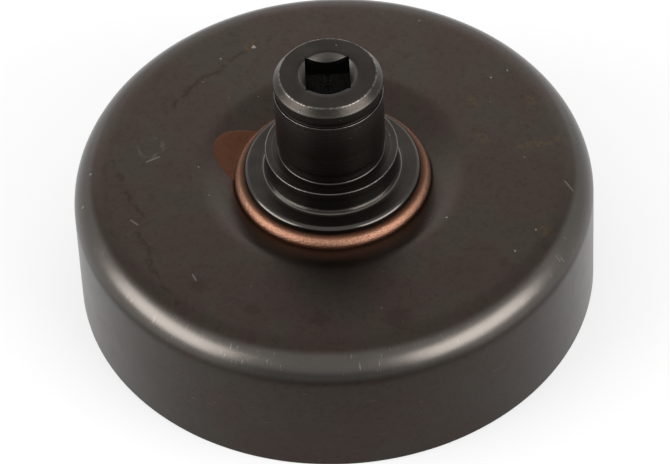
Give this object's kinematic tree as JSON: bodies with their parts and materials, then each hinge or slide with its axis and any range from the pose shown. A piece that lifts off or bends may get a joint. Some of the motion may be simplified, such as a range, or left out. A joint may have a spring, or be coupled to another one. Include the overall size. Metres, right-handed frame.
{
  "type": "clutch drum",
  "caption": "Deep-drawn steel cup with a turned hub brazed into its dished centre; the hub has a bearing seat, a ring groove and a square drive socket.",
  "frame": {"origin": "centre of the drum's open mouth, on the surface that the drum stands on", "axes": "+Z along the drum's axis, out of the hub's free end; the socket's flats face +X and +Y"},
  "size_m": [0.082, 0.082, 0.045],
  "materials": {
    "cup_steel": "deep-drawn steel with a thin brown-grey scale, burnished at the bend and on the wall",
    "hub_steel": "turned steel, darkened by the brazing, with fine turning lines and bright edges",
    "braze_copper": "furnace-brazed copper, satin and slightly grainy"
  },
  "bodies": {
    "root": {"drum_cup": "cup_steel", "drive_hub": "hub_steel", "braze_bead": "braze_copper"}
  },
  "joints": []
}
